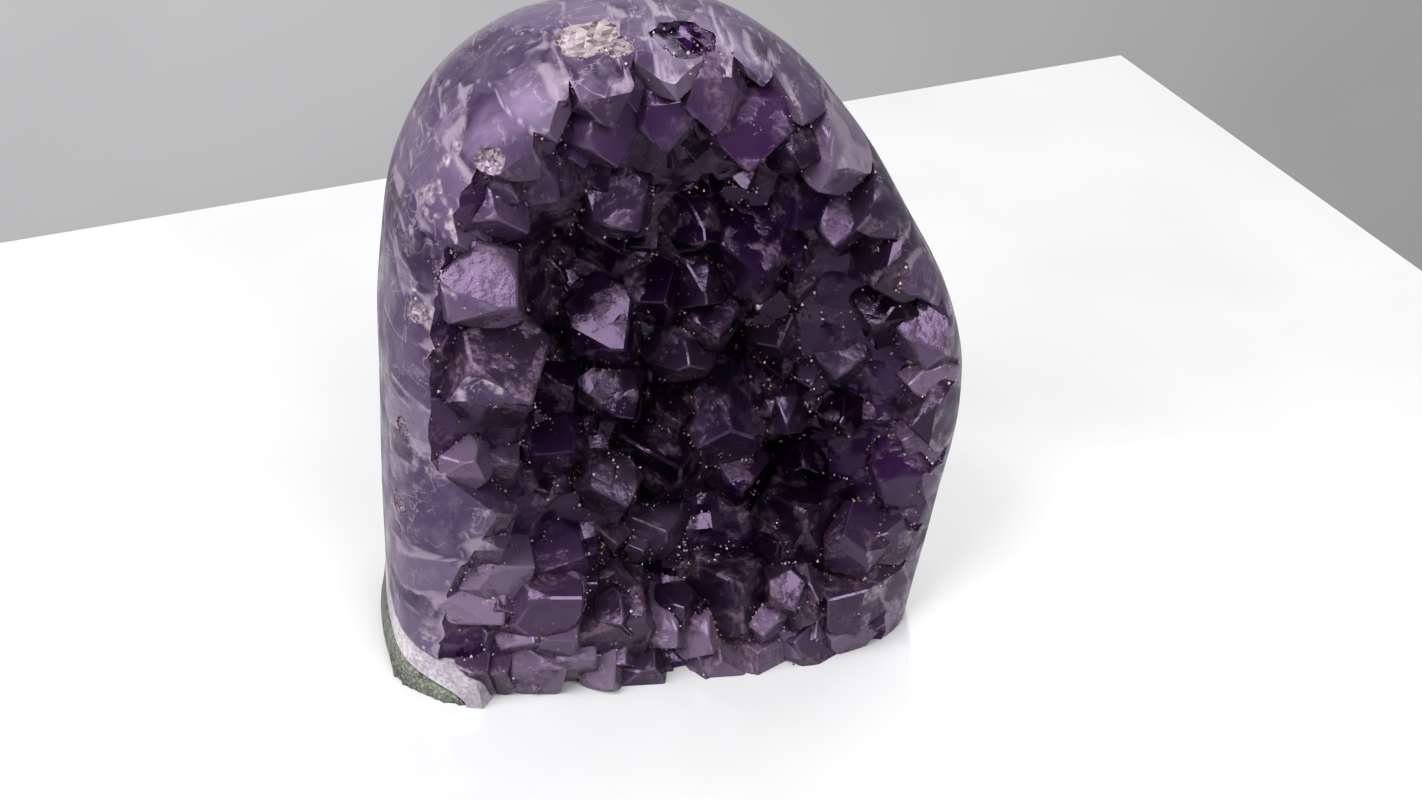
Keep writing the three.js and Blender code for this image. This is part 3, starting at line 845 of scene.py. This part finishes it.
# %% The rind and the band
rock_front = behind_face(0, "rock_front")
rind = copy_of(block, "rind")
combine(rind, rock_front, "INTERSECT")
band = copy_of(block, "band")
for depth, operation in ((SEAM + AGATE_THICKNESS, "INTERSECT"), (SEAM, "DIFFERENCE")):
    layer = behind_face(depth, "layer")
    combine(band, layer, operation)
    bpy.data.objects.remove(layer)
tell(band)

# %% The rough back
NET = 1.2  # size of the even faces


def smooth_step(value):
    value = min(max(value, 0), 1)
    return value * value * (3 - 2 * value)


apply_modifier(rind, "REMESH", mode="VOXEL", voxel_size=NET * MM)
for vertex in rind.data.vertices:
    found, skin, normal, face = block.closest_point_on_mesh(vertex.co)
    if (skin - vertex.co).length < 0.1 * MM:
        spot = vertex.co / MM
        back = smooth_step((spot.y - POLISHED_TO) / 7) * smooth_step(spot.z / 3)
        lumps = 0.8 + 1.2 * noise.noise(spot / 7) + 0.9 * noise.noise(spot / 2.6)
        vertex.co -= normal * max(lumps, 0) * back * MM
    vertex.co.z = max(vertex.co.z, 0)
tell(rind)
for extra in [block, rock_front] + masters:
    bpy.data.objects.remove(extra)

# %% [markdown]
# ## The fine quartz
#
# The last silica in the water settled as grains of a fraction of a millimetre. They glitter in the
# seams where crystals meet, as brown and white sugar, and a few lie on the faces. One grain is a
# five-sided cone with a closed base, and thousands of copies are written into one mesh, each with
# its own size, turn and tint: first along the sharp inner edges, then at random on the faces.

# %% Grains along the seams
GRAIN_STEP = 0.42  # mm between grains on a seam
SEAM_ANGLE = math.radians(38)
LOOSE_GRAINS = 1600
LOWEST_GRAIN = 0.5 * MM  # none lies under the block
random.seed(21)


def seam_places(piece):
    shape = bmesh.new()
    shape.from_mesh(piece.data)
    polish = shape.faces.layers.float["polish"]
    for edge in shape.edges:
        if any(face[polish] > 0.5 for face in edge.link_faces):
            continue
        if edge.calc_face_angle_signed(0) > -SEAM_ANGLE:
            continue
        start, end = (vertex.co for vertex in edge.verts)
        out = sum((face.normal for face in edge.link_faces), Vector()).normalized()
        for number in range(round(edge.calc_length() / MM / GRAIN_STEP)):
            place = start.lerp(end, random.random())
            crowd = noise.noise(place / MM / 7) + 0.35
            if random.random() < crowd:
                spread = Vector([random.gauss(0, 0.3) for axis in range(3)]) * MM
                yield place + spread + out * 0.1 * MM, random.uniform(0.1, 0.3)
    shape.free()


def loose_places(piece, count):
    faces = [face for face in piece.data.polygons if face.area > 2 * MM * MM]
    polish = piece.data.attributes["polish"].data
    for face in random.choices(faces, weights=[face.area for face in faces], k=count):
        corners = [piece.data.vertices[index].co for index in face.vertices]
        if polish[face.index].value > 0.5:
            continue
        shares = [random.random() for corner in corners]
        place = sum((corner * share for corner, share in zip(corners, shares)), Vector()) / sum(shares)
        yield place, random.uniform(0.06, 0.15)


bpy.ops.mesh.primitive_cone_add(vertices=5, radius1=1, depth=1.6)
grain = bpy.context.object
one = np.array([vertex.co[:] for vertex in grain.data.vertices])
sides = [list(polygon.vertices) for polygon in grain.data.polygons]
bpy.data.objects.remove(grain)
places = list(seam_places(amethyst)) + list(loose_places(amethyst, LOOSE_GRAINS))
places = [(place, size) for place, size in places if place.z > LOWEST_GRAIN]
corners, faces, tints = [], [], []
for place, size in places:
    turn = Matrix.Rotation(random.uniform(0, 7), 3, Vector([random.gauss(0, 1) for axis in range(3)]))
    first = len(corners)
    corners.extend((one * size * MM @ np.array(turn).T + np.array(place)).tolist())
    faces.extend([[first + corner for corner in side] for side in sides])
    tints.extend([random.random()] * len(sides))
mesh = bpy.data.meshes.new("fine_quartz")
mesh.from_pydata(corners, [], faces)
mesh.attributes.new("tint", "FLOAT", "FACE").data.foreach_set("value", tints)
fine_quartz = bpy.data.objects.new("fine_quartz", mesh)
bpy.context.collection.objects.link(fine_quartz)
print("grains:", len(places))

# %% [markdown]
# ## Describing a surface finish
#
# A finish is a list of what a surface is made of, so one helper adds a node, fills its open inputs
# in order with values or with earlier results, and hands back its result. Colours are written as
# they look on a screen and turned into light values once. All patterns are measured in millimetres
# on the stone itself.

# %% Colours and nodes
def screen_colour(text):
    parts = [int(text[start:start + 2], 16) / 255 for start in (1, 3, 5)]
    linear = [((part + 0.055) / 1.055) ** 2.4 if part > 0.04 else part / 12.92 for part in parts]
    return (*linear, 1)


def node(tree, kind, *inputs, result=None, **settings):
    made = tree.nodes.new("ShaderNode" + kind)
    for name, value in settings.items():
        setattr(made, name, value)
    open_inputs = [socket for socket in made.inputs if socket.enabled]
    for socket, value in zip(open_inputs, inputs):
        if isinstance(value, bpy.types.NodeSocket):
            tree.links.new(value, socket)
        else:
            socket.default_value = value
    results = [socket for socket in made.outputs if socket.enabled]
    return made.outputs[result] if result else results[0]


def new_finish(name):
    finish = bpy.data.materials.new(name)
    finish.use_nodes = True
    return finish, finish.node_tree, finish.node_tree.nodes["Principled BSDF"]


def per(length):
    return 1 / (length * MM)


RGB = {"data_type": "RGBA"}
TIMES = {"operation": "MULTIPLY"}
PLUS = {"operation": "ADD"}

# %% [markdown]
# ## Amethyst: the natural faces
#
# Amethyst owes its violet to traces of iron. Deep in the hollow little light comes back, so the
# colour there is painted darker, nearly black with a violet cast, as painted shade, while towards
# the skin milky quartz scatters light and they turn a grey lilac, painted lighter still to the
# left and at the foot where the light falls. Each crystal has its own tint, and some get a
# grey-violet that is a painted sheen. Patches of the faces are frosted with the first grains of a
# younger quartz, and the bevelled edges are paler, partly wear and partly a painted highlight.

# %% The natural faces
# the grey-violet is a painted sheen colour
DEEP, VIOLET, GREY_VIOLET_SHEEN = (screen_colour(text) for text in ("#0d0312", "#38134a", "#5f5068"))
LILAC, PALE_LILAC = screen_colour("#58445f"), screen_colour("#8a7991")
FROST, PALE_FROST = screen_colour("#4a3348"), screen_colour("#86727f")


def natural_faces(tree, facts, cloud, fleck, speck, granular):
    drift = node(tree, "MapRange", cloud, 0.3, 0.7, -0.15, 0.15)
    near_skin = node(tree, "MapRange", facts["depth"], 1, 9, 0.9, 0)
    share = node(tree, "Math", near_skin, 0.7, **PLUS)
    pale = node(tree, "Math", node(tree, "Math", facts["milk"], share, **TIMES), drift, use_clamp=True)
    violet = node(tree, "MapRange", facts["tint"], 0.15, 0.6)
    deep = node(tree, "Mix", violet, DEEP, VIOLET, **RGB)
    # painted sheen: crystals of high tint get a grey-violet base colour that stands for the grey sheen
    # their facets reflect
    painted_sheen = node(tree, "MapRange", facts["tint"], 0.66, 0.95)
    deep = node(tree, "Mix", painted_sheen, deep, GREY_VIOLET_SHEEN, **RGB)
    lilac = node(tree, "Mix", facts["tint"], LILAC, PALE_LILAC, **RGB)
    own = node(tree, "MapRange", facts["tint"], 0.2, 0.8, 0.6, 1.15)
    colour = node(tree, "Mix", node(tree, "Math", pale, own, **TIMES), deep, lilac, **RGB)
    # painted shade: the deeper a face lies inside the block, the nearer its colour goes to DEEP, unless
    # it is milky
    painted_hollow_shade = node(tree, "MapRange", facts["depth"], 4, 16, 0, 0.85)
    painted_hollow_shade = node(tree, "Math", painted_hollow_shade, node(tree, "MapRange", pale, 0, 0.6, 1, 0.3), **TIMES)
    colour = node(tree, "Mix", painted_hollow_shade, colour, DEEP, **RGB)
    mauve = node(tree, "Mix", node(tree, "MapRange", speck, 0.42, 0.6), FROST, PALE_FROST, **RGB)
    covered = node(tree, "Math", granular, node(tree, "MapRange", pale, 0, 0.5, 0.35, 0.8), **TIMES)
    colour = node(tree, "Mix", covered, colour, mauve, **RGB)
    cream = node(tree, "MapRange", facts["milk"], 1.1, 2, 0, 0.9)
    # the fracture's colour goes by each face's random tint, partly a painted sparkle
    fracture = node(tree, "Mix", facts["tint"], screen_colour("#6f6062"), screen_colour("#dcd0cb"), **RGB)
    colour = node(tree, "Mix", cream, colour, fracture, **RGB)
    # the bevels are painted paler: partly wear, partly a painted highlight along the edges
    worn_edge_highlight = node(tree, "MapRange", pale, 0.2, 0.9, 0.02, 0.28)
    worn_edge_highlight = node(tree, "Math", facts["edge"], worn_edge_highlight, **TIMES)
    return node(tree, "Mix", worn_edge_highlight, colour, screen_colour("#8d7b8e"), **RGB)


# %% [markdown]
# ## Amethyst: the polish
#
# Grinding cuts straight through the crystals, so the polish shows sections of them, each with its
# own lilac, with a pale seam where two meet. Milky clouds, thin healed cracks and crumbs of crushed
# quartz run across them, and towards the root the crystals dissolve into an even grey-lilac mass.

# %% The polish
CUT_DARK, CUT_MIDDLE, CUT_LIGHT = (screen_colour(text) for text in ("#32213f", "#5f4d6e", "#84758d"))
MILKY, CRACK, CRUMB = screen_colour("#7f7289"), screen_colour("#ad9eae"), screen_colour("#cfc3c8")
ROOT_DARK, ROOT_LIGHT = screen_colour("#7b7080"), screen_colour("#a49aa4")


def polished_faces(tree, facts, place, cloud, fleck, speck):
    middle = node(tree, "MapRange", facts["shade"], 0, 0.45)
    light = node(tree, "MapRange", facts["shade"], 0.5, 0.95)
    colour = node(tree, "Mix", middle, CUT_DARK, CUT_MIDDLE, **RGB)
    colour = node(tree, "Mix", light, colour, CUT_LIGHT, **RGB)
    veil = node(tree, "TexNoise", place, per(8), 5, 0.62, 2, 1.2)
    milky = node(tree, "MapRange", veil, 0.45, 0.68, 0, 0.55)
    colour = node(tree, "Mix", milky, colour, MILKY, **RGB)
    where = node(tree, "MapRange", node(tree, "TexNoise", place, per(7), 2), 0.4, 0.55)
    wave = node(tree, "TexNoise", place, per(6), 3, 0.55, 2, 0.8)
    off_line = node(tree, "Math", wave, 0.5, operation="SUBTRACT")
    off_line = node(tree, "Math", off_line, operation="ABSOLUTE")
    crack = node(tree, "Math", node(tree, "MapRange", off_line, 0.004, 0.014, 0.6, 0), where, **TIMES)
    colour = node(tree, "Mix", crack, colour, CRACK, **RGB)
    wander = node(tree, "MapRange", fleck, 0.3, 0.7, -0.03, 0.03)
    seam = node(tree, "Math", facts["seam"], wander, **PLUS)
    seam = node(tree, "MapRange", seam, 0.03, 0.1, 0.75, 0)
    colour = node(tree, "Mix", seam, colour, CRACK, **RGB)
    between_crystals = node(tree, "MapRange", facts["loose"], -0.25, 0.1, 0.1, 1)
    pockets = node(tree, "MapRange", node(tree, "TexNoise", place, per(3.2), 3), 0.55, 0.62)
    pockets = node(tree, "Math", pockets, between_crystals, **TIMES)
    crumbs = node(tree, "MapRange", speck, 0.4, 0.6, 0.1, 0.95)
    colour = node(tree, "Mix", node(tree, "Math", pockets, crumbs, **TIMES), colour, CRUMB, **RGB)
    y = node(tree, "SeparateXYZ", place, result="Y")
    uneven = node(tree, "Math", cloud, 9 * MM, y, operation="MULTIPLY_ADD")
    to_root = node(tree, "MapRange", uneven, 5 * MM, 15 * MM, 0, 0.85)
    grain = node(tree, "MapRange", node(tree, "TexNoise", place, per(0.35), 2), 0.35, 0.65)
    root_colour = node(tree, "Mix", grain, ROOT_DARK, ROOT_LIGHT, **RGB)
    return node(tree, "Mix", to_root, colour, root_colour, **RGB)


# %% [markdown]
# ## Amethyst: the whole finish
#
# Quartz is clear: half of the light goes in, bends by its index of 1.544, and is soaked up on its
# way by the violet volume. The rest comes back from the milk and the flaws in it. Natural faces
# are glassy with frosted patches. The polish is glossy and satin by turns, because crystals of
# different directions take it differently, and it dips a little at their seams.

# %% The amethyst finish
FACTS = ("tint", "milk", "polish", "edge", "depth", "shade", "seam", "loose")


def amethyst_finish():
    # Quartz grown from hot water: natural crystal faces, and the same crystals ground and polished.
    finish, tree, surface = new_finish("amethyst, natural faces and polished")
    place = node(tree, "TexCoord", result="Object")
    facts = {name: node(tree, "Attribute", result="Fac", attribute_name=name) for name in FACTS}
    cloud = node(tree, "TexNoise", place, per(12), 3)
    patch = node(tree, "TexNoise", place, per(5), 4)
    fleck = node(tree, "TexNoise", place, per(2.4), 5)
    speck = node(tree, "TexNoise", place, per(0.9), 4)
    granular = node(tree, "MapRange", fleck, 0.42, 0.6, 0.3, 1)
    granular = node(tree, "Math", node(tree, "MapRange", patch, 0.5, 0.6), granular, **TIMES)
    natural = natural_faces(tree, facts, cloud, fleck, speck, granular)
    cut = polished_faces(tree, facts, place, cloud, fleck, speck)
    colour = node(tree, "Mix", facts["polish"], natural, cut, **RGB)

    smooth = node(tree, "MapRange", patch, 0.35, 0.65, 0.1, 0.25)
    frosted = node(tree, "Mix", granular, smooth, 0.55)
    ground = node(tree, "MapRange", patch, 0.38, 0.62, 0.27, 0.5)
    rough = node(tree, "Mix", facts["polish"], frosted, ground)
    relief = node(tree, "Math", granular, speck, **TIMES)
    relief = node(tree, "Math", fleck, 0.35, relief, operation="MULTIPLY_ADD")
    grooves = node(tree, "MapRange", facts["seam"], 0, 0.2, 0, 0.35)
    grooves = node(tree, "Math", fleck, 0.08, grooves, operation="MULTIPLY_ADD")
    relief = node(tree, "Mix", facts["polish"], relief, grooves)
    bump = node(tree, "Bump", 0.6, 0.5 * MM, 0.1, relief)

    tree.links.new(colour, surface.inputs["Base Color"])
    tree.links.new(rough, surface.inputs["Roughness"])
    tree.links.new(bump, surface.inputs["Normal"])
    surface.inputs["IOR"].default_value = 1.544
    surface.inputs["Specular IOR Level"].default_value = 0.5
    surface.inputs["Specular Tint"].default_value = screen_colour("#d6bce4")
    surface.inputs["Transmission Weight"].default_value = 0.5
    absorb = node(tree, "VolumeAbsorption", screen_colour("#a566b8"), 110)
    tree.links.new(absorb, tree.nodes["Material Output"].inputs["Volume"])
    return finish


# %% [markdown]
# ## Fine quartz, agate and basalt
#
# The sugary grains are clear with a lilac cast, or brown where iron oxide stained them. The agate
# is a milky grey band with darker specks, ground with the rest. The basalt is weathered lava that
# celadonite has turned grey-green, rough, with small pits where gas escaped.

# %% The fine quartz finish
def fine_quartz_finish():
    # Sugary quartz grains, some stained brown by iron, others clear with a lilac cast.
    finish, tree, surface = new_finish("fine quartz, sugary")
    tint = node(tree, "Attribute", result="Fac", attribute_name="tint")
    place = node(tree, "TexCoord", result="Object")
    stain = node(tree, "MapRange", node(tree, "TexNoise", place, per(9), 2), 0.42, 0.6)
    clear = node(tree, "Mix", tint, screen_colour("#3a2440"), screen_colour("#b5a3b5"), **RGB)
    brown = node(tree, "Mix", tint, screen_colour("#2e1b1f"), screen_colour("#92746a"), **RGB)
    tree.links.new(node(tree, "Mix", stain, clear, brown, **RGB), surface.inputs["Base Color"])
    tree.links.new(node(tree, "MapRange", tint, 0, 1, 0.08, 0.3), surface.inputs["Roughness"])
    surface.inputs["IOR"].default_value = 1.544
    return finish


# %% The agate finish
def agate_finish():
    # The band of milky quartz and agate under the crystals, ground and polished.
    finish, tree, surface = new_finish("agate, polished")
    place = node(tree, "TexCoord", result="Object")
    speck = node(tree, "TexNoise", place, per(0.6), 4)
    cloud = node(tree, "MapRange", node(tree, "TexNoise", place, per(5), 3), 0.35, 0.65)
    grey = node(tree, "Mix", cloud, screen_colour("#8f8791"), screen_colour("#b8b2b6"), **RGB)
    dark = node(tree, "MapRange", speck, 0.42, 0.6, 0, 0.6)
    colour = node(tree, "Mix", dark, grey, screen_colour("#6f6a70"), **RGB)
    tree.links.new(colour, surface.inputs["Base Color"])
    tree.links.new(node(tree, "MapRange", speck, 0.3, 0.7, 0.25, 0.45), surface.inputs["Roughness"])
    tree.links.new(node(tree, "Bump", 0.3, 0.15 * MM, 0.1, speck), surface.inputs["Normal"])
    surface.inputs["IOR"].default_value = 1.54
    return finish


# %% The basalt finish
def basalt_finish():
    # Weathered lava: celadonite makes it grey-green, the gas left small pits.
    finish, tree, surface = new_finish("basalt, weathered")
    place = node(tree, "TexCoord", result="Object")
    cloud = node(tree, "MapRange", node(tree, "TexNoise", place, per(4), 5), 0.35, 0.65)
    speck = node(tree, "TexNoise", place, per(0.5), 3)
    pits = node(tree, "MapRange", node(tree, "TexVoronoi", place, per(2.2)), 0.1, 0.35)
    green = node(tree, "Mix", cloud, screen_colour("#34382f"), screen_colour("#62665c"), **RGB)
    light = node(tree, "MapRange", speck, 0.5, 0.62, 0, 0.6)
    colour = node(tree, "Mix", light, green, screen_colour("#8b8d86"), **RGB)
    tree.links.new(colour, surface.inputs["Base Color"])
    tree.links.new(node(tree, "MapRange", speck, 0.3, 0.7, 0.6, 0.85), surface.inputs["Roughness"])
    height = node(tree, "Math", pits, 0.6, speck, operation="MULTIPLY_ADD")
    tree.links.new(node(tree, "Bump", 0.6, 0.5 * MM, 0.1, height), surface.inputs["Normal"])
    return finish


# %% Each piece gets its finish
for piece, finish in (
    (amethyst, amethyst_finish()), (rind, basalt_finish()),
    (band, agate_finish()), (fine_quartz, fine_quartz_finish()),
):
    piece.data.materials.clear()
    piece.data.materials.append(finish)
    print(piece.name, "is", finish.name, "from", len(finish.node_tree.nodes), "nodes")
for piece in (amethyst, rind, band):
    pick(piece)
    bpy.ops.object.shade_smooth_by_angle(angle=math.radians(22))

# %% [markdown]
# ## The table, the wall and the light
#
# The block stands on a plain white table top in front of a grey wall. The light is soft: a large
# softbox from the left, a second one from behind that lines the top, a small one from the front
# that finds its way into the hollow, and a little light from all sides.

# %% The table top and the wall
def slab_finish():
    # White stone or laminate table top, polished.
    finish, tree, surface = new_finish("white table top, polished")
    place = node(tree, "TexCoord", result="Object")
    cloud = node(tree, "MapRange", node(tree, "TexNoise", place, per(60), 3), 0.4, 0.7)
    colour = node(tree, "Mix", cloud, screen_colour("#bababb"), screen_colour("#b5b5b6"), **RGB)
    tree.links.new(colour, surface.inputs["Base Color"])
    surface.inputs["Roughness"].default_value = 0.12
    return finish


def wall_finish():
    # Matt grey paint.
    finish, tree, surface = new_finish("grey wall paint, matt")
    place = node(tree, "TexCoord", result="Object")
    cloud = node(tree, "MapRange", node(tree, "TexNoise", place, per(300), 2), 0.4, 0.7)
    colour = node(tree, "Mix", cloud, screen_colour("#e2e1e3"), screen_colour("#dcdbdd"), **RGB)
    tree.links.new(colour, surface.inputs["Base Color"])
    surface.inputs["Roughness"].default_value = 0.9
    return finish


SLAB_CORNER = Vector((161.7, 201.5, 0)) * MM
SLAB_TURN = math.radians(9.6)
SLAB_SIZE = (0.9, 0.7, 0.02)
bpy.ops.mesh.primitive_cube_add(size=1)
slab = bpy.context.object
slab.name = "table_top"
turn = Matrix.Rotation(SLAB_TURN, 4, "Z")
slab.data.transform(Matrix.Diagonal((*SLAB_SIZE, 1)))
slab.data.transform(Matrix.Translation((-SLAB_SIZE[0] / 2, -SLAB_SIZE[1] / 2, -SLAB_SIZE[2] / 2)))
slab.data.transform(Matrix.Translation(SLAB_CORNER) @ turn)
slab.data.materials.append(slab_finish())
upright = (math.radians(90), 0, math.radians(8))
bpy.ops.mesh.primitive_plane_add(size=4, location=(0, 1.2, 0), rotation=upright)
wall = bpy.context.object
wall.name = "wall"
wall.data.materials.append(wall_finish())
for thing in (slab, wall):
    thing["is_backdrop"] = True

print("the table top ends", [round(value / MM) for value in SLAB_CORNER.xy], "mm from the middle")

# %% The light
world = bpy.data.worlds.new("room")
bpy.context.scene.world = world
world.use_nodes = True
world.node_tree.nodes["Background"].inputs[0].default_value = (1, 1, 1, 1)
world.node_tree.nodes["Background"].inputs[1].default_value = 0.24


def softbox(name, place, size, power):
    bpy.ops.object.light_add(type="AREA", location=place)
    light = bpy.context.object
    light.name = name
    light.data.size = size
    light.data.energy = power
    light.rotation_euler = (Vector(place) - Vector((0, 0, 50 * MM))).to_track_quat("Z", "Y").to_euler()
    return light


softbox("key", (-0.5, -0.28, 0.7), 0.7, 13)
softbox("back", (0.35, 0.5, 0.75), 0.7, 5)
softbox("fill", (0.2, -0.6, 0.6), 0.4, 4.5)
bpy.context.scene.view_settings.view_transform = "Standard"
bpy.context.scene.view_settings.look = "Medium High Contrast"

# %% [markdown]
# ## Into place
#
# The block was modelled about its own middle. The frame wants the middle of its footprint over the
# origin, so every piece is shifted by the same small amount, in its mesh. Then each piece is set
# to ride on the root, and the CAD solid that it stands in for is hidden.

# %% Centre the pieces and hand them over
corners = [vertex.co for piece in (amethyst, rind, band) for vertex in piece.data.vertices]
middles = [(min(co[axis] for co in corners) + max(co[axis] for co in corners)) / 2 for axis in (0, 1)]
centring = Matrix.Translation((-middles[0], -middles[1], 0))
print("the block is shifted by", [round(value / MM, 2) for value in centring.translation], "mm")
for piece in (amethyst, rind, band, fine_quartz):
    piece.data.transform(centring)
for piece, solid, slot in (
    (amethyst, "amethyst_crystals", "amethyst"),
    (rind, "basalt_rind", "basalt"),
    (band, "agate_band", "agate"),
):
    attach(piece, "root")
    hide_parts(solid)
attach(fine_quartz, "root")
place_camera(centring @ MIDDLE)

# %% The sizes, and the end
boxes = [[list(corner) for corner in cad_box], [list(corner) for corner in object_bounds()]]
for name, (low, high) in zip(("CAD", "visual"), boxes):
    print(name, "size in mm:", [round((end - start) / MM, 1) for start, end in zip(low, high)])
